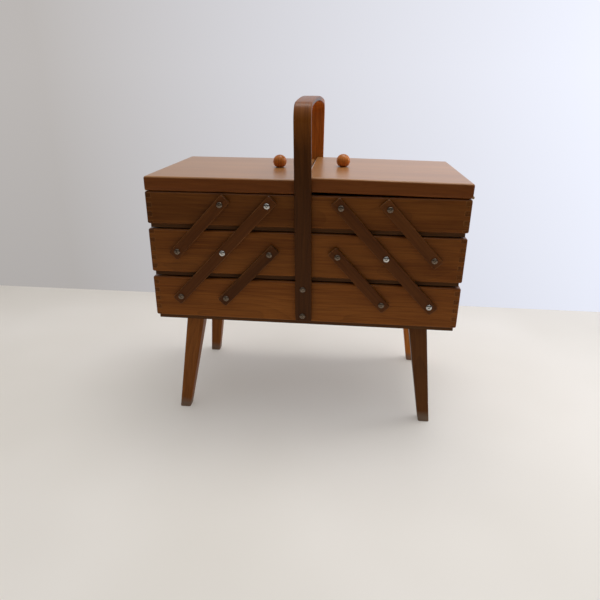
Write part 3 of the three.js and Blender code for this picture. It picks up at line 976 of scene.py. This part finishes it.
# ---------------------------------------------------------------- strip hinges
def hinge_leaf(side_name, kind, way_up, body, swing):
    node = f"{side_name}_hinge_{kind}_leaf"
    side = SIDES[side_name]
    axis = joint_place(f"{side_name}_lid_hinge")
    low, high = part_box("left_hinge_tray_leaf")
    length = high.y - low.y + 0.3 * MM
    reach = high.x - joint_place("left_lid_hinge").x
    pitch = length / HINGE["knuckles"]
    parity = 0 if kind == "tray" else 1
    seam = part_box("left_lid")[0].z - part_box("top_left_front_board")[1].z
    near = seam / 2 - HINGE["leaf"] - 0.05 * MM
    near, far = near * way_up, (near + HINGE["leaf"]) * way_up
    room = HINGE["radius"] + 0.2 * MM

    def is_solid(p):
        own = int((p.y + length / 2) // pitch) % 2 == parity
        return own or p.x > room

    ys = [-length / 2 + pitch * i for i in range(HINGE["knuckles"] + 1)]
    gaps = [y + d for y in ys[1:-1] for d in (-0.15 * MM, 0.15 * MM)]
    ease = 0.12 * MM
    bm = cells([0, room, reach - ease, reach], [ys[0], ys[-1]] + gaps, [near, far], is_solid)
    leaf = to_object(f"{node}_metal", bm)
    knuckles = []
    for i in range(HINGE["knuckles"]):
        if i % 2 == parity:
            start, stop = ys[i] + 0.15 * MM, ys[i + 1] - 0.15 * MM
            r, e = HINGE["radius"], 0.2 * MM
            barrel = to_object("barrel", lathe(
                [(0.0, start), (r - e, start), (r, start + e), (r, stop - e), (r - e, stop),
                 (0.0, stop)], 28))
            barrel.matrix_world = Matrix.Rotation(-math.pi / 2, 4, "X")
            knuckles.append(barrel)
    bore = to_object("bore", lathe([(0.0, -length), (HINGE["bore"], -length),
                                    (HINGE["bore"], length), (0.0, length)], 20))
    bore.matrix_world = Matrix.Rotation(-math.pi / 2, 4, "X")
    bpy.context.view_layer.update()
    cut(leaf, knuckles, "UNION")
    cut(leaf, [bore])
    mirror = Matrix.Scale(-1, 4, X) if side > 0 else Matrix.Identity(4)
    leaf.data.transform(swing @ Matrix.Translation(axis) @ mirror)
    if side > 0:
        leaf.data.flip_normals()
    finish_piece(leaf, "brass", body, [node])

    sink = HINGE["leaf"] * 0.9
    profile = [(0.0, -sink), (1.0 * MM, -sink), (2.0 * MM, 0.0), (1.6 * MM, 0.07 * MM),
               (0.0, 0.12 * MM)]
    head = to_object("hinge_screw_pattern", lathe(profile, 24))
    slot_bit = to_object("slot_bit", cells([-3 * MM, 3 * MM], [-0.25 * MM, 0.25 * MM],
                                           [-0.2 * MM, 1 * MM], lambda p: True))
    cut(head, [slot_bit])
    for number in range(HINGE["screws"]):
        y = length * ((number + 0.5) / HINGE["screws"] - 0.5)
        place = Vector((-side * (room + reach) / 2, y, near))
        flip = Matrix.Rotation(0 if way_up < 0 else math.pi, 4, "X")
        matrix = swing @ Matrix.Translation(axis + place) @ flip \
            @ Matrix.Rotation(draw.uniform(0, 3), 4, "Z")
        place_copy(head, f"{side_name}_{kind}_leaf_screw_{number + 1}", matrix, "steel", body)
    bpy.data.objects.remove(head)


def hinge_pin(side_name):
    node = f"{side_name}_hinge_pin"
    low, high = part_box(node)
    half, r, e = (high.y - low.y) / 2, HINGE["pin"], 0.15 * MM
    bm = lathe([(0.0, -half), (r - e, -half), (r, -half + e), (r, half - e), (r - e, half),
                (0.0, half)], 24)
    axis = joint_place(f"{side_name}_lid_hinge")
    bmesh.ops.transform(bm, verts=bm.verts, matrix=Matrix.Translation(axis)
                        @ Matrix.Rotation(math.pi / 2, 4, "X"))
    pin = to_object(f"{node}_metal", bm)
    finish_piece(pin, "steel", f"{side_name}_top_tray", [node])


# ---------------------------------------------------------------- build the box
def build():
    tray_boards("bottom", "base", ("left", "right"), TRAY_LIGHT_AND_SHADE["bottom"])
    for side_name in SIDES:
        ends = ("outer", "inner") if side_name == "left" else ("inner", "outer")
        for tier in ("middle", "top"):
            tray = f"{tier}_{side_name}"
            tray_boards(tray, f"{side_name}_{tier}_tray", ends, TRAY_LIGHT_AND_SHADE[tray])
        lid(side_name)
        knob(side_name)
        for kind, pivots in side_pivots(side_name).items():
            for face_name in FACES:
                link(side_name, face_name, kind, pivots)
        still = Matrix.Identity(4)
        hinge_leaf(side_name, "tray", -1, f"{side_name}_top_tray", still)
        hinge_leaf(side_name, "lid", 1, f"{side_name}_lid", lid_swing(side_name))
        hinge_pin(side_name)
        for face_name in FACES:
            leg(face_name, side_name)
    floor_panels()
    handle()
    washer = pivot_screws()
    handle_screws(washer)
    leg_screws()


build()


# ---------------------------------------------------------------- floor, backdrop and light
BACKDROP_Y = 0.362


def stage_plane(name, corners, material):
    mesh = bpy.data.meshes.new(name)
    mesh.from_pydata(corners, [], [tuple(range(len(corners)))])
    plane = bpy.data.objects.new(name, mesh)
    mesh.materials.append(material)
    bpy.context.scene.collection.objects.link(plane)


def one_sided(s, front, clear):
    """Shows the front shader, or nothing at all where clear is 1."""
    gone = s.node("BsdfTransparent")
    both = s.node("MixShader", {0: clear, 1: front.outputs[0], 2: gone.outputs[0]})
    s.node("OutputMaterial", {"Surface": both.outputs[0]})
    return s.owner


def floor_look():
    """Pale and matt. It shows from above only, so that the box can be seen from below."""
    s = new_shader("studio_floor")
    place = s.node("TexCoord").outputs["Object"]
    cloud = s.noise(place, (3, 3, 3), 2)
    colour = s.mix(s.remap(cloud, 0.35, 0.65), (0.6, 0.565, 0.515, 1), (0.64, 0.605, 0.56, 1))
    paper = s.node("BsdfPrincipled", {"Base Color": colour, "Roughness": 0.7,
                                      "Emission Color": colour, "Emission Strength": 0.33})
    below = s.node("NewGeometry").outputs["Backfacing"]
    clear = s.math("MULTIPLY", below, s.node("LightPath").outputs["Is Camera Ray"])
    return one_sided(s, paper, clear)


def backdrop_look():
    """Glows with painted light, brighter to the right and a little dimmer towards the floor, and is
    seen from its front only, so that it hides no other view.
    """
    s = new_shader("studio_backdrop")
    place = s.node("SeparateXYZ", {0: s.node("TexCoord").outputs["Object"]})
    # painted light: dim and warm on the left, bright and cool on the right
    to_right = s.remap(place.outputs[0], -0.6, 0.6)
    colour = s.mix(to_right, (0.5, 0.475, 0.46, 1), (0.93, 0.96, 1.08, 1))
    strength = s.remap(place.outputs[2], 0.0, 0.5, 0.87, 1.0)
    glow = s.node("Emission", {"Color": colour, "Strength": strength})
    return one_sided(s, glow, s.node("NewGeometry").outputs["Backfacing"])


def area_light(name, place, target, size, power, colour, spread=180):
    data = bpy.data.lights.new(name, "AREA")
    data.spread = math.radians(spread)
    data.shape = "RECTANGLE"
    data.size, data.size_y = size
    data.energy = power
    data.color = colour
    lamp = bpy.data.objects.new(name, data)
    lamp.location = place
    lamp.rotation_euler = (Vector(target) - Vector(place)).to_track_quat("-Z", "Y").to_euler()
    bpy.context.scene.collection.objects.link(lamp)


def studio():
    stage_plane("floor", [(-4, -4, 0), (4, -4, 0), (4, 4, 0), (-4, 4, 0)], floor_look())
    stage_plane("backdrop", [(-4, BACKDROP_Y, 0), (4, BACKDROP_Y, 0), (4, BACKDROP_Y, 1.1),
                             (-4, BACKDROP_Y, 1.1)], backdrop_look())
    area_light("overhead", (0.25, 0.2, 1.5), (0.05, -0.1, 0), (1.3, 0.5), 4.8, (1.0, 0.98, 0.95),
               spread=120)
    area_light("window", (0.85, 0.3, 0.8), (0.1, 0.05, 0.3), (0.5, 0.5), 2.2, (0.95, 0.98, 1.0))
    world = bpy.data.worlds.new("studio_air")
    bpy.context.scene.world = world
    s = Shader(world)
    up = s.node("SeparateXYZ", {0: s.node("TexCoord").outputs["Generated"]}).outputs[2]
    dim = s.node("Background", {"Color": (0.95, 0.97, 1.0, 1),
                                "Strength": s.math("MULTIPLY", s.math("MULTIPLY", up, up), 0.95)})
    pale = s.node("Background", {"Color": (0.78, 0.79, 0.82, 1), "Strength": 1.0})
    seen = s.node("LightPath").outputs["Is Camera Ray"]
    both = s.node("MixShader", {0: seen, 1: dim.outputs[0], 2: pale.outputs[0]})
    s.node("OutputWorld", {"Surface": both.outputs[0]})
    bpy.context.scene.view_settings.view_transform = "Standard"


studio()
